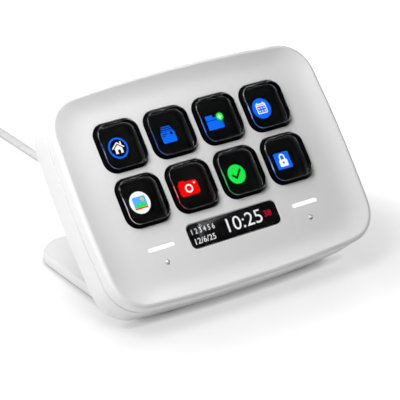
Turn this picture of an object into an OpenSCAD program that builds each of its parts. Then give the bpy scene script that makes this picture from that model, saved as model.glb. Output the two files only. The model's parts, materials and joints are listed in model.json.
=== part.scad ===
// Desk macro pad: eight screen keys in a dished white housing, leaning on a fixed foot.
// Millimetres, +Z up. X runs to the right, Y to the back, and the keys face -Y and up.
// The origin is the middle of the foot pad's underside.

/* [Housing] */
// Width of the housing across the middle of its bowed sides
housing_w = 107.4; // [104:0.2:114]
// Height of the housing along its slope
housing_h = 76.8; // [75:0.2:84]
// Depth of the housing, from rim to back
housing_d = 16; // [15.6:0.1:19]
// Depth of the front shell, from rim to the seam
front_d = 5.5; // [5.2:0.1:7]
// Radius of the housing's corners
corner_r = 12.5; // [11.5:0.1:15]
// Radius of the slight bow in the left and right sides
side_bow_r = 400; // [300:10:900]
// Radius of the slight bow in the top and bottom sides
top_bow_r = 560; // [400:10:1200]
// Wall of both shells
wall = 1.8; // [1.5:0.1:2.2]
// Radius round the back edge
back_round = 1.6; // [0.8:0.1:2.2]
// Open seam between the shells
seam = 0.3; // [0.2:0.05:0.5]
// Slope of the housing from the desk, in degrees
tilt = 50; // [46:1:56]
// Air between the lowest edge and the desk
desk_gap = 0.3; // [0.2:0.1:1]

/* [Dish] */
// Depth of the flat middle below the rim
dish_d = 2.4; // [2:0.1:3]
// Thickness of the front shell's face
face_t = 2; // [1.7:0.1:2.4]
// Flat land on top of the rim
land_w = 0.7; // [0.4:0.1:1.2]
// Rounding of the rim's outer edge
rim_round = 0.8; // [0.5:0.1:1.2]
// Width of the slope at the left and right
slope_side = 11.5; // [8:0.5:12.5]
// Width of the slope at the top
slope_top = 8; // [5:0.5:9]
// Width of the slope at the bottom
slope_bottom = 9; // [6:0.5:10]
// Corner radius of the flat middle
dish_corner_r = 9; // [6:0.5:12]

/* [Keys] */
// Spacing of the keys
key_pitch = 19.5; // [19.3:0.1:20]
// Width of a key cap
key_w = 17.1; // [16.6:0.1:17.5]
// Corner radius of a key cap
key_r = 4.4; // [3:0.1:5]
// Air round a key cap
key_gap = 0.2; // [0.15:0.01:0.25]
// Height of a key cap above the flat middle
key_proud = 1.9; // [1.4:0.1:2]
// Travel of a key
key_travel = 1.2; // [0.8:0.1:1.4]
// Rounding of a cap's upper edge
key_edge = 0.4; // [0.3:0.1:0.8]
// How far a cap's side leans in above the flat middle
key_lean = 0.7; // [0.3:0.05:1]
// How far a carrier reaches past its cap, to stop it from lifting out
catch_w = 0.65; // [0.5:0.05:0.75]
// Thickness of a carrier
carrier_t = 1; // [0.8:0.1:1.2]
// Width of the black border that a carrier shows under its cap
carrier_border = 1; // [0.8:0.1:1.4]
// Height of the key block's middle above the housing's middle
key_y = 7.55; // [6.5:0.05:8.2]

/* [Display strip] */
// Width of the strip's window
strip_w = 36.2; // [30:0.2:38]
// Height of the strip's window
strip_h = 8.5; // [7:0.1:9]
// Corner radius of the window
strip_r = 2; // [1:0.1:3]
// Distance of the strip below the key block's middle
strip_drop = 26.05; // [25.8:0.05:27]
// Distance of each light bar from the middle
bar_x = 29.25; // [28.6:0.05:31]
// Length of a light bar
bar_w = 9.4; // [8:0.1:11]
// Height of a light bar
bar_h = 1.2; // [1:0.1:2]
// Distance from a light bar down to its bump
bump_drop = 5.2; // [4.8:0.1:6]
// Diameter of a bump
bump_w = 1.5; // [1:0.1:2]
// Height of a bump
bump_t = 0.45; // [0.3:0.05:0.6]

/* [Inner parts] */
// Thickness of the screen panel
lcd_t = 1.9; // [1.6:0.1:2]
// Margin of the screen panel round keys and strip
lcd_margin = 3; // [2.5:0.1:3.2]
// Thickness of the screen's steel tray
tray_t = 0.4; // [0.3:0.05:0.5]
// Thickness of the silicone mat's web
mat_t = 0.3; // [0.2:0.05:0.4]
// Thickness of the circuit board
board_t = 1.2; // [1:0.1:1.6]
// Width of the circuit board
board_w = 76; // [70:1:80]
// Height of the circuit board
board_h = 46; // [42:1:48]
// Height of the pillars that carry the board
board_lift = 2; // [1.8:0.1:2.2]
// Diameter of the screws' shafts
screw_d = 2; // [1.6:0.1:2.2]
// Diameter of the screws' heads
screw_head_d = 3.8; // [3.2:0.1:4]

/* [Foot] */
// Width of the foot
foot_w = 86; // [78:1:94]
// Length of the foot, front to back
foot_l = 63; // [58:1:70]
// Height of the foot above its pad
foot_h = 3.7; // [3.6:0.1:5]
// Radius of the foot's corners
foot_r = 11.5; // [9:0.5:14]
// Rounding of the foot's upper edge
foot_round = 1.4; // [0.8:0.1:1.8]
// Wall round the foot's pocket
foot_wall = 2.2; // [1.6:0.1:3]
// Thickness of the grip pad
pad_t = 0.6; // [0.5:0.1:1]
// How far the grip pad stays inside the foot's edge
pad_inset = 3; // [2.6:0.2:5]
// Thickness of the foot's base lid
lid_t = 1; // [0.8:0.1:1.2]
// Thickness of the steel weight
weight_t = 1.5; // [1:0.1:1.5]
// Width of the bracket that joins foot and housing
bracket_w = 64; // [58:1:72]
// Height of the bracket up the back
bracket_h = 22; // [21:0.5:26]
// Thickness of the bracket
bracket_t = 3; // [2.6:0.1:4]
// Radius of the hollow between bracket and foot
hollow_r = 6; // [4:0.5:6]

/* [Cord] */
// Diameter of the cord
cord_d = 3; // [2.8:0.1:3.2]
// Height of the cord's outlet above the housing's middle
outlet_y = -4; // [-6:0.5:2]
// Length of the strain relief outside the housing
relief_l = 14; // [10:0.5:18]
// Diameter of the strain relief at its root
relief_d = 6; // [5.4:0.1:7]
// Diameter of the strain relief at its tip
relief_tip_d = 4; // [3.6:0.1:4.6]
// Width of the plug's metal shell
plug_w = 12; // [11.9:0.05:12.1]
// Height of the plug's metal shell
plug_h = 4.5; // [4.4:0.05:4.6]
// Length of the plug's metal shell
plug_l = 18.8; // [18:0.1:19]
// Width of the plug's grip
grip_w = 15.6; // [14:0.2:17]
// Height of the plug's grip
grip_h = 7.6; // [7:0.2:9]
// Length of the plug's grip
grip_l = 24; // [20:0.5:28]

/* [Hidden] */
$fn = 48;
eps = 0.01;
columns = 4;
rows = 2;

// Levels below the rim's plane, along the housing's own normal
flat_z = -dish_d;
cap_top_z = flat_z + key_proud;
face_back_z = flat_z - face_t;
stop_gap = 0.1;
carrier_top_z = face_back_z - stop_gap;
carrier_back_z = carrier_top_z - carrier_t;
mat_gap = 0.05;
mat_top_z = carrier_back_z - mat_gap;
press_gap = 0.1;
web_top_z = carrier_back_z - key_travel - press_gap;
screen_top_z = web_top_z - mat_t;
screen_back_z = screen_top_z - lcd_t;
tray_back_z = screen_back_z - tray_t;
back_z = -housing_d;
back_inner_z = back_z + wall;
board_back_z = back_inner_z + board_lift;
board_top_z = board_back_z + board_t;

// Places in the housing's own plane
block_w = (columns - 1) * key_pitch + key_w;
block_h = (rows - 1) * key_pitch + key_w;
strip_y = key_y - strip_drop;
bar_low = 0.15;
bar_y = strip_y - bar_low;
bump_y = bar_y - bump_drop;
screen_w = block_w + 2 * lcd_margin;
screen_top_y = key_y + block_h / 2 + lcd_margin;
screen_low_y = strip_y - strip_h / 2 - lcd_margin;
screen_h = screen_top_y - screen_low_y;
screen_y = (screen_top_y + screen_low_y) / 2;
carrier_w = key_w + 2 * catch_w;
carrier_r = key_r + catch_w;
carrier_hole = key_w - 2 * carrier_border;
well_gap = 0.2;
well_w = carrier_w + 2 * well_gap;
guide_wall = 1.2;
mat_w = (columns - 1) * key_pitch + well_w;
mat_h = (rows - 1) * key_pitch + well_w;
fit_gap = 0.1;

// Screw bosses of the shells: one in each corner, inside the wall
boss_wall = 1.6;
boss_d = screw_d + 2 * boss_wall;
boss_gap = 0.2;
boss_in = wall + boss_d / 2 + boss_gap;
boss_reach = (corner_r - boss_in) * cos(45);
bow_in = [1.1, 1.3];
boss_x = housing_w / 2 - corner_r - bow_in.x + boss_reach;
boss_y = housing_h / 2 - corner_r - bow_in.y + boss_reach;
boss_split_z = screen_top_z;
screw_hole_d = screw_d + 0.3;
thread_hole_d = screw_d + 0.1;
head_hole_d = screw_head_d + 0.4;
screw_head_t = 1.4;
head_sink = 3.2;
head_seat_z = back_z + head_sink;
shell_screw_l = 8;
board_boss_wall = 1.2;
board_boss_d = screw_d + 2 * board_boss_wall;
board_hole_in = 3;
board_boss_x = board_w / 2 - board_hole_in;
board_boss_y = board_h / 2 - board_hole_in;
board_hole_floor = 0.8;
board_y = 2;
board_head_t = 0.5;
board_screw_l = 3;

// Housing outline in its own plane
lip_w = 0.8;
lip_gap = 0.12;
lip_d = 1.1;
seam_z = -front_d;
back_top_z = seam_z - seam;
ring_steps = [2, 8, 3];
cap_steps = [1, 5, 1];
slope_steps = 8;
round_steps = 4;

// Where the housing stands: its back lower edge is desk_gap above the desk
foot_top = pad_t + foot_h;
panel_z = desk_gap + housing_h / 2 * sin(tilt) + housing_d * cos(tilt);
bracket_lead = 0.4;
panel_y = -foot_l / 2 - bracket_lead + housing_h / 2 * cos(tilt) - housing_d * sin(tilt);

// Foot
pocket_gap = 0.1;
foot_bow_r = 2000;
nose_l = 6;
bar_l = 2;
pocket_l = foot_l - nose_l - foot_wall - bar_l;
pocket_w = foot_w - 2 * foot_wall;
pocket_y = foot_l / 2 - foot_wall - pocket_l / 2;
pocket_r = foot_r - foot_wall;
weight_inset = 0.6;
bracket_y = -housing_h / 2 + bracket_h / 2;
bracket_r = 5;
foot_edge = 0.4;
web_sink = 1;
bracket_screw_up = 13;
bracket_screw_y = -housing_h / 2 + bracket_screw_up;
bracket_screw_xs = [-26, -10, 10, 26];
bracket_head_t = 1.3;
bracket_screw_l = 5.6;
bracket_hole_spare = 0.4;
bracket_hole_l = bracket_screw_l - wall + bracket_hole_spare;

// Route of the cord along the desk, in the object's frame
cord_route = [
    [0, -0.4, 18.8], [0, 1.9, 16.85], [0, 4.2, 14.9], [0, 7.5, 12.2], [0, 10.7, 9.65],
    [0, 12.9, 8], [0, 15.5, 6.85], [0, 18.2, 6.1], [0, 21, 5.85], [0, 25, 5.85], [0, 29.5, 5.85],
    [0, 32.5, 5.6], [0, 35, 4.8], [0, 36.6, 3.9], [0, 38.2, 2.9], [0, 40.6, 2], [0, 43.6, 1.5],
    [0.1, 48, 1.5], [0.3, 54, 1.5], [0.6, 62, 1.5], [0.9, 72, 1.5], [1, 84, 1.5], [1, 96, 1.5],
    [1, 108, 1.5], [1, 120, 1.5], [1, 130, 1.6], [1, 141, 1.9], [1, 152, 2.1]];
coil_x = -20;
coil_y = 157;
coil_lift = 0.6;
coil_turns_across = 3;
coil_turns_high = 4;
coil_mid_r = 6 * cord_d;
coil_w = coil_turns_across * cord_d;
coil_h = coil_turns_high * cord_d;
tail_route = [
    [-22, 177.6, 11.1], [-27, 177.4, 11], [-32, 176.6, 10.6], [-37, 175, 9.6],
    [-42, 172.4, 8.2], [-46, 169.2, 6.8], [-49, 165.6, 5.6], [-51, 161.6, 4.7],
    [-52, 157.4, 4.1], [-52, 153.4, 3.8]];
plug_x = -52;
plug_y = 155;
plug_nose_l = 5;
plug_nose_d = 5;
plug_nose_taper = 0.5;
plug_wall = 0.4;
plug_floor = 2;
plug_window = 2.2;
plug_window_x = 2.5;
plug_window_z = 11.6;
tongue_t = 1.6;
tongue_y = 0.9;
tongue_short = 1;
grip_r = 2;
tie_w = 8;
tie_t = 0.6;
tie_angle = 200;

// ---------- shared forms ----------

// One quarter of a rounded rectangle whose sides bow outwards, from +X round to +Y
function meet(p, q, rp, rq) =
    let (d = norm(q - p), u = (q - p) / d, s = (d * d + rp * rp - rq * rq) / (2 * d),
         h = sqrt(rp * rp - s * s))
    p + s * u + h * [-u.y, u.x];
function arc(c, r, from, to, steps) =
    [for (i = [0 : steps - 1]) c + r * [cos(from + (to - from) * i / steps),
                                        sin(from + (to - from) * i / steps)]];
function quarter(a, b, ra, rb, rc, n) =
    let (ca = [a - ra, 0], cb = [0, b - rb], c = meet(ca, cb, ra - rc, rb - rc),
         ta = atan2(c.y - ca.y, c.x - ca.x), tb = atan2(c.y - cb.y, c.x - cb.x))
    concat(arc(ca, ra, 0, ta, n[0]), arc(c, rc, ta, tb, n[1]),
           arc(cb, rb, tb, 90, n[2]), [[0, b]]);
function ring(a, b, ra, rb, rc, steps = ring_steps) =
    let (q = quarter(a, b, ra, rb, rc, steps), n = len(q) - 1)
    concat([for (i = [0 : n - 1]) q[i]], [for (i = [0 : n - 1]) [-q[n - i].x, q[n - i].y]],
           [for (i = [0 : n - 1]) -q[i]], [for (i = [0 : n - 1]) [q[n - i].x, -q[n - i].y]]);
function outline(inset) = ring(housing_w / 2 - inset, housing_h / 2 - inset,
                               side_bow_r - inset, top_bow_r - inset, corner_r - inset);
function raise(points, z) = [for (p = points) [p.x, p.y, z]];
function mix(p, q, t) = [for (i = [0 : len(p) - 1]) p[i] * (1 - t) + q[i] * t];

// Skin over a stack of rings that have the same number of points
module loft(rings) {
    n = len(rings[0]);
    top = len(rings) - 1;
    polyhedron(
        points = [for (r = rings) each r],
        faces = concat(
            [[for (i = [0 : n - 1]) i]],
            [for (k = [0 : top - 1]) for (i = [0 : n - 1])
                [k * n + i, (k + 1) * n + i, (k + 1) * n + (i + 1) % n, k * n + (i + 1) % n]],
            [[for (i = [n - 1 : -1 : 0]) top * n + i]]),
        convexity = 6);
}

module rounded(w, h, r) {
    square([w - 2 * r, h], center = true);
    square([w, h - 2 * r], center = true);
    for (x = [-1, 1], y = [-1, 1])
        translate([x * (w / 2 - r), y * (h / 2 - r)]) circle(r);
}

// A slab with its outline in the housing's plane, from one level up to another
module slab(w, h, r, low, high) {
    translate([0, 0, low]) linear_extrude(high - low) rounded(w, h, r);
}

// Moves from the housing's own plane to its place above the desk
module housed() {
    translate([0, panel_y, panel_z]) rotate([tilt, 0, 0]) children();
}

module corners(x, y) {
    for (i = [-1, 1], j = [-1, 1]) translate([i * x, j * y, 0]) children();
}

function key_place(i) = [
    (i % columns - (columns - 1) / 2) * key_pitch,
    key_y + ((rows - 1) / 2 - floor(i / columns)) * key_pitch];

module at_keys() {
    for (i = [0 : columns * rows - 1]) translate(key_place(i)) children();
}

// ---------- housing ----------

dish_ring = [for (p = ring(housing_w / 2 - slope_side - land_w - rim_round,
                           (housing_h - slope_top - slope_bottom) / 2 - land_w - rim_round,
                           side_bow_r, top_bow_r, dish_corner_r))
             p + [0, (slope_bottom - slope_top) / 2]];
slope_power = 2.2;
function mix_z(low, high, t) = low + (high - low) * (1 - pow(1 - t, slope_power));
rim_ring = outline(land_w + rim_round);
wall_ring = outline(wall);
rim_wall = 2.6;
rim_back_z = -rim_wall;

module front_solid() {
    loft(concat(
        [for (k = [slope_steps : -1 : 0])
            let (t = k / slope_steps)
            raise(mix(wall_ring, dish_ring, t), mix_z(rim_back_z, face_back_z, t))],
        [raise(wall_ring, seam_z - lip_d), raise(outline(wall - lip_w), seam_z - lip_d),
         raise(outline(wall - lip_w), seam_z), raise(outline(0), seam_z)],
        [for (k = [0 : round_steps])
            let (t = 90 * k / round_steps)
            raise(outline(rim_round * (1 - cos(t))), rim_round * (sin(t) - 1))],
        [for (k = [0 : slope_steps])
            let (t = k / slope_steps) raise(mix(rim_ring, dish_ring, t), mix_z(0, flat_z, t))]));
}

bump_root = 0.4;
module bump() {
    ball = (bump_w * bump_w / 4 + bump_t * bump_t) / (2 * bump_t);
    lean = asin(bump_w / 2 / ball);
    rotate_extrude($fn = 20)
        polygon(concat([[0, -bump_root], [bump_w / 2, -bump_root]],
                       [for (i = [0 : 4]) let (t = lean * (1 - i / 4))
                           [ball * sin(t), ball * (cos(t) - 1) + bump_t]]));
}

module front_shell() color("white") housed() {
    difference() {
        union() {
            front_solid();
            corners(boss_x, boss_y) translate([0, 0, boss_split_z])
                cylinder(d = boss_d, h = rim_back_z - boss_split_z);
            for (x = [-bar_x, bar_x]) translate([x, bump_y, flat_z]) bump();
        }
        at_keys() slab(key_w + 2 * key_gap, key_w + 2 * key_gap, key_r + key_gap,
                       face_back_z - 1, 0);
        translate([0, strip_y]) slab(strip_w, strip_h, strip_r, face_back_z - 1, 0);
        for (x = [-bar_x, bar_x]) translate([x, bar_y])
            slab(bar_w, bar_h, bar_h / 2 - eps, face_back_z - 1, 0);
        corners(boss_x, boss_y) translate([0, 0, boss_split_z - 1])
            cylinder(d = thread_hole_d, h = rim_back_z - boss_split_z);
    }
}

module back_solid() {
    loft(concat(
        [for (k = [0 : round_steps])
            let (t = 90 * k / round_steps)
            raise(outline(back_round * (1 - sin(t))), back_z + back_round * (1 - cos(t)))],
        [raise(outline(0), back_top_z), raise(outline(wall - lip_w - lip_gap), back_top_z),
         raise(outline(wall - lip_w - lip_gap), seam_z - lip_d - lip_gap),
         raise(wall_ring, seam_z - lip_d - lip_gap), raise(wall_ring, back_inner_z)]));
}

module back_shell() color("white") housed() difference() {
    union() {
        back_solid();
        corners(boss_x, boss_y) translate([0, 0, back_z + eps])
            cylinder(d = boss_d, h = boss_split_z - fit_gap - back_z - eps);
        translate([0, board_y]) corners(board_boss_x, board_boss_y)
            translate([0, 0, back_z + eps])
                cylinder(d = board_boss_d, h = board_back_z - back_z - eps);
    }
    corners(boss_x, boss_y) translate([0, 0, back_z - 1]) {
        cylinder(d = screw_hole_d, h = housing_d);
        cylinder(d = head_hole_d, h = head_seat_z - back_z + 1);
    }
    translate([0, board_y]) corners(board_boss_x, board_boss_y)
        translate([0, 0, back_z + board_hole_floor]) cylinder(d = thread_hole_d, h = housing_d);
    for (x = bracket_screw_xs) translate([x, bracket_screw_y, back_z - 1])
        cylinder(d = screw_hole_d, h = wall + 2);
    translate([0, outlet_y, back_z - 1]) cylinder(d = relief_d + 2 * fit_gap, h = wall + 2);
}

// Pan-head screw that points to +Z, with its head seat at the origin
slot_l = 0.6;
slot_w = 0.16;
module screw(length, head_d, head_t) {
    difference() {
        union() {
            cylinder(d = screw_d, h = length);
            translate([0, 0, -head_t]) cylinder(d = head_d, h = head_t);
        }
        for (a = [0, 90]) rotate(a) translate([0, 0, -head_t])
            cube([head_d * slot_l, head_d * slot_w, head_t], center = true);
    }
}

module shell_screws() color("silver") housed()
    corners(boss_x, boss_y) translate([0, 0, head_seat_z])
        screw(shell_screw_l, screw_head_d, screw_head_t);

// ---------- keys ----------

cap_back_z = carrier_top_z;
key_bow_r = 900;
edge_steps = 3;

// Cap that stands up through the face: its side leans in, and its upper edge is rounded
function cap_ring(inset) = ring(key_w / 2 - inset, key_w / 2 - inset, key_bow_r, key_bow_r,
                                key_r - inset, cap_steps);
module cap_solid() {
    loft(concat(
        [raise(cap_ring(0), cap_back_z), raise(cap_ring(0), flat_z)],
        [for (k = [0 : edge_steps])
            let (t = 90 * k / edge_steps)
            raise(cap_ring(key_lean + key_edge * (1 - cos(t))),
                  cap_top_z - key_edge * (1 - sin(t)))]));
}

module key_cap(i) color([0.12, 0.12, 0.13, 0.6]) housed()
    translate(key_place(i)) cap_solid();

// Black frame under the cap: its outer edge catches behind the face
module key_carrier(i) color([0.05, 0.05, 0.05]) housed()
    translate(key_place(i)) difference() {
        slab(carrier_w, carrier_w, carrier_r, carrier_back_z, carrier_top_z);
        slab(carrier_hole, carrier_hole, key_r - carrier_border, carrier_back_z - 1, 0);
    }

// Lattice behind the face: a well for each carrier, and a frame round the strip's window
module key_guide() color("dimgray") housed() difference() {
    union() {
        translate([0, key_y])
            slab(mat_w + 2 * guide_wall, mat_h + 2 * guide_wall, carrier_r + well_gap + guide_wall,
                 web_top_z, face_back_z);
        translate([0, strip_y])
            slab(strip_w + 2 * (window_lip + guide_wall), strip_h + 2 * (window_lip + 2 * guide_wall),
                 2, screen_top_z, face_back_z);
    }
    at_keys() slab(well_w, well_w, carrier_r + well_gap, screen_top_z - 1, 0);
    translate([0, strip_y])
        slab(strip_w + 2 * (window_lip + fit_gap), strip_h + 2 * (window_lip + fit_gap), 1.5,
             screen_top_z - 1, 0);
    translate([0, key_y]) slab(mat_w + 2 * fit_gap, mat_h + 2 * fit_gap, carrier_r + fit_gap,
                               screen_top_z - 1, web_top_z);
}

// Silicone sheet with one springy skirt under each carrier
skirt_w = key_w - 0.2;
skirt_t = 0.7;
module dome_mat() color("lightgray") housed() {
    difference() {
        translate([0, key_y]) slab(mat_w, mat_h, carrier_r, screen_top_z, web_top_z);
        at_keys() slab(carrier_hole, carrier_hole, key_r - carrier_border, screen_top_z - 1, 0);
    }
    at_keys() difference() {
        slab(skirt_w, skirt_w, key_r, web_top_z - eps, mat_top_z);
        slab(skirt_w - 2 * skirt_t, skirt_w - 2 * skirt_t, key_r - skirt_t, web_top_z - 1, 0);
    }
}

// ---------- screen, strip and lights ----------

module screen_panel() color([0.02, 0.02, 0.03]) housed() translate([0, screen_y])
    slab(screen_w, screen_h, 1, screen_back_z, screen_top_z);

tray_low = 0.4;
notch_l = 4;
module screen_tray() color("silver") housed() translate([0, screen_y]) difference() {
    slab(screen_w + 2 * (fit_gap + tray_t), screen_h + 2 * (fit_gap + tray_t), 1.4,
         tray_back_z, screen_top_z - tray_low);
    slab(screen_w + 2 * fit_gap, screen_h + 2 * fit_gap, 1.1, screen_back_z, 0);
    translate([0, -screen_h / 2, screen_back_z + lcd_t / 2])
        cube([ribbon_w + 2 * ribbon_gap, notch_l, lcd_t + 2 * eps], center = true);
}

foam_w = 5;
foam_in = [12, 9];
module foam_strips() color([0.15, 0.15, 0.15]) housed()
    for (y = [-1, 1]) translate([0, board_y + y * (board_h / 2 - foam_in.y)])
        slab(board_w - 2 * foam_in.x, foam_w, 0.6, board_top_z, tray_back_z);

window_lip = 1;
window_sink = 0.05;
module strip_window() color([0.1, 0.1, 0.11, 0.6]) housed() translate([0, strip_y]) {
    slab(strip_w - 2 * fit_gap, strip_h - 2 * fit_gap, strip_r - fit_gap,
         face_back_z, flat_z - window_sink);
    slab(strip_w + 2 * window_lip, strip_h + 2 * window_lip, 1.4, face_back_z - 0.8, face_back_z);
}

bar_lip = 0.8;
bar_back_z = face_back_z - 1;
module light_bar(side) color([0.97, 0.98, 1]) housed() translate([side * bar_x, bar_y]) {
    slab(bar_w - fit_gap, bar_h - fit_gap, (bar_h - fit_gap) / 2 - eps, face_back_z, flat_z);
    slab(bar_w + 2 * bar_lip, bar_h + 2 * bar_lip, 1, bar_back_z, face_back_z);
}

light_board_t = 0.8;
light_board_h = 4.4;
lamp = [1.6, 0.8, 0.5];
module light_board(side) color("seagreen") housed() translate([side * bar_x, bar_y]) difference() {
    slab(bar_w + 2 * bar_lip, light_board_h, 0.4, bar_back_z - light_board_t, bar_back_z);
    for (x = [-1, 0, 1]) translate([x * bar_w / 3, 0, bar_back_z])
        cube(lamp, center = true);
}

touch_t = 0.2;
touch_h = 4.6;
module touch_pad(side) color("peru") housed() translate([side * bar_x, bump_y])
    slab(bar_w + 1, touch_h, 1, face_back_z - touch_t, face_back_z);

// ---------- electronics ----------

module main_board() color("darkgreen") housed() translate([0, board_y]) difference() {
    slab(board_w, board_h, 2, board_back_z, board_top_z);
    corners(board_boss_x, board_boss_y) translate([0, 0, board_back_z - 1])
        cylinder(d = screw_hole_d, h = board_t + 2);
}

// Width, length, height and place of each part on the board's back
chips = [[9, 9, 1, -12, 9], [6, 5, 0.9, 14, 11], [4, 4, 0.8, 22, 2], [7, 3, 1.3, -24, -2]];
module board_chips() color([0.1, 0.1, 0.1]) housed() translate([0, board_y])
    for (c = chips) translate([c[3], c[4]])
        slab(c[0], c[1], 0.3, board_back_z - c[2], board_back_z);

module board_screws() color("silver") housed() translate([0, board_y])
    corners(board_boss_x, board_boss_y) translate([0, 0, board_top_z]) rotate([180, 0, 0])
        screw(board_screw_l, screw_head_d, board_head_t);

ribbon_w = 10;
ribbon_gap = 1;
ribbon_t = 0.2;
ribbon_run = 1.6;
ribbon_top_z = screen_back_z + lcd_t / 2;
ribbon_drop = 0.5;
ribbon_low_z = board_back_z - ribbon_drop;
socket_l = 3.6;
socket_t = 1.2;
socket_in = 2;
socket_y = board_y - board_h / 2 + socket_in + socket_l / 2;
ribbon_r = (ribbon_top_z - ribbon_low_z) / 2;
ribbon_bend = [screen_low_y - ribbon_run, (ribbon_top_z + ribbon_low_z) / 2];
function half_turn(r) = [for (i = [0 : 12]) ribbon_bend + r * [cos(90 + 15 * i), sin(90 + 15 * i)]];
function reversed(p) = [for (i = [len(p) - 1 : -1 : 0]) p[i]];
module screen_ribbon() color("orange") housed() {
    outer = ribbon_r + ribbon_t / 2;
    inner = ribbon_r - ribbon_t / 2;
    socket_edge = socket_y - socket_l / 2;
    rotate([90, 0, 90]) translate([0, 0, -ribbon_w / 2]) linear_extrude(ribbon_w)
        polygon(concat(
            [[screen_low_y, ribbon_bend.y + outer]], half_turn(outer),
            [[socket_edge, ribbon_bend.y - outer], [socket_edge, ribbon_bend.y - inner]],
            reversed(half_turn(inner)), [[screen_low_y, ribbon_bend.y + inner]]));
}

module ribbon_socket() color("ivory") housed() translate([0, socket_y])
    slab(ribbon_w + 3, socket_l, 0.4, board_back_z - socket_t, board_back_z);

// ---------- foot ----------

function foot_ring(inset) = ring(foot_w / 2 - inset, foot_l / 2 - inset, foot_bow_r, foot_bow_r,
                                 foot_r - inset);

module behind_housing() {
    difference() {
        children();
        housed() translate([-housing_w, -housing_h, back_z]) cube([2 * housing_w, 3 * housing_h, 60]);
    }
}

// Leaf that lies on the housing's back, down to the underside of the foot
module bracket_flange() {
    difference() {
        housed() translate([0, bracket_y])
            slab(bracket_w, bracket_h, bracket_r, back_z - bracket_t, back_z);
        translate([-housing_w, -foot_l, pad_t - housing_d])
            cube([2 * housing_w, 2 * foot_l, housing_d]);
    }
}

// Fills the angle between flange and foot with a hollow of radius hollow_r
module bracket_web() {
    up = [cos(tilt), sin(tilt)];
    out = [sin(tilt), -cos(tilt)];
    low = [panel_y, panel_z] - housing_h / 2 * up - back_z * out;
    face = low + bracket_t * out;
    run = (foot_top + hollow_r - (face + hollow_r * out).y) / up.y;
    centre = face + hollow_r * out + run * up;
    deep = foot_top - web_sink;
    rotate([90, 0, 90]) translate([0, 0, -bracket_w / 2 + bracket_r])
        linear_extrude(bracket_w - 2 * bracket_r)
            polygon(concat(
                [[low.x, deep], [centre.x, deep]],
                arc(centre, hollow_r, 270, 90 + tilt, 8),
                [face + run * up, low + run * up]));
}

module foot_shell() color("white") difference() {
    behind_housing() {
        loft(concat(
            [raise(foot_ring(foot_edge), pad_t), raise(foot_ring(0), pad_t + foot_edge)],
            [for (k = [0 : 3]) let (t = 30 * k)
                raise(foot_ring(foot_round * (1 - cos(t))), foot_top - foot_round * (1 - sin(t)))]));
        bracket_flange();
        bracket_web();
    }
    translate([0, pocket_y]) slab(pocket_w, pocket_l, pocket_r, 0, pad_t + lid_t + weight_t + pocket_gap);
    housed() for (x = bracket_screw_xs) translate([x, bracket_screw_y, back_z - bracket_hole_l])
        cylinder(d = thread_hole_d, h = bracket_hole_l + 1);
}

module bracket_screws() color("silver") housed()
    for (x = bracket_screw_xs) translate([x, bracket_screw_y, back_inner_z]) rotate([180, 0, 0])
        screw(bracket_screw_l, screw_head_d, bracket_head_t);

module foot_weight() color("gray") translate([0, pocket_y])
    slab(pocket_w - 2 * weight_inset, pocket_l - 2 * weight_inset, pocket_r - weight_inset,
         pad_t + lid_t, pad_t + lid_t + weight_t);

module foot_lid() color("white") translate([0, pocket_y])
    slab(pocket_w - 2 * pocket_gap, pocket_l - 2 * pocket_gap, pocket_r - pocket_gap,
         pad_t, pad_t + lid_t);

module grip_pad() color("gray") translate([0, (nose_l - pad_inset) / 2])
    slab(foot_w - 2 * pad_inset, foot_l - nose_l - pad_inset, foot_r - pad_inset, 0, pad_t);

// ---------- cord ----------

// Tapered sleeve with grooves that let it bend, held by a flange inside the back shell
relief_flange = 1;
relief_flange_t = 0.8;
relief_collar = 0.8;
relief_collar_l = 1.2;
relief_grooves = 4;
groove_d = 0.6;
groove_pitch = (relief_l - relief_collar_l) / (relief_grooves + 1);
function relief_side(l) = (relief_d + (relief_tip_d - relief_d) * l / relief_l) / 2;
module strain_relief() color("white") housed() translate([0, outlet_y, back_z]) {
    translate([0, 0, wall]) cylinder(d = relief_d + 2 * relief_flange, h = relief_flange_t);
    rotate([180, 0, 0]) rotate_extrude() polygon(concat(
        [[0, -wall], [relief_d / 2, -wall], [relief_d / 2, 0], [relief_d / 2 + relief_collar, 0],
         [relief_d / 2 + relief_collar, relief_collar_l * 0.8], [relief_d / 2, relief_collar_l]],
        [for (i = [1 : relief_grooves]) let (l = relief_collar_l + groove_pitch * i,
                                             a = groove_pitch / 4, b = groove_pitch / 5)
            each [[relief_side(l - a), l - a], [relief_side(l) - groove_d, l - b],
                  [relief_side(l) - groove_d, l + b], [relief_side(l + a), l + a]]],
        [[relief_tip_d / 2, relief_l], [0, relief_l]]));
}

// Tube of eight sides swept along a list of points
function unit(v) = v / norm(v);
function heading(p, i) = unit(p[min(i + 1, len(p) - 1)] - p[max(i - 1, 0)]);
module tube(points, d) {
    sides = 8;
    loft([for (i = [0 : len(points) - 1])
        let (t = heading(points, i), u = unit(cross(abs(t.z) > 0.95 ? [1, 0, 0] : [0, 0, 1], t)),
             v = cross(t, u))
        [for (k = [0 : sides - 1]) let (a = 360 * (k + 0.5) / sides)
            points[i] + d / 2 * (cos(a) * u + sin(a) * v)]]);
}

module cord() color("whitesmoke") tube(cord_route, cord_d);

module cord_coil() color("whitesmoke") translate([coil_x, coil_y, coil_lift])
    rotate_extrude() translate([coil_mid_r, coil_h / 2]) rounded(coil_w, coil_h, cord_d / 2);

module cord_tail() color("whitesmoke") tube(tail_route, cord_d);

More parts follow.
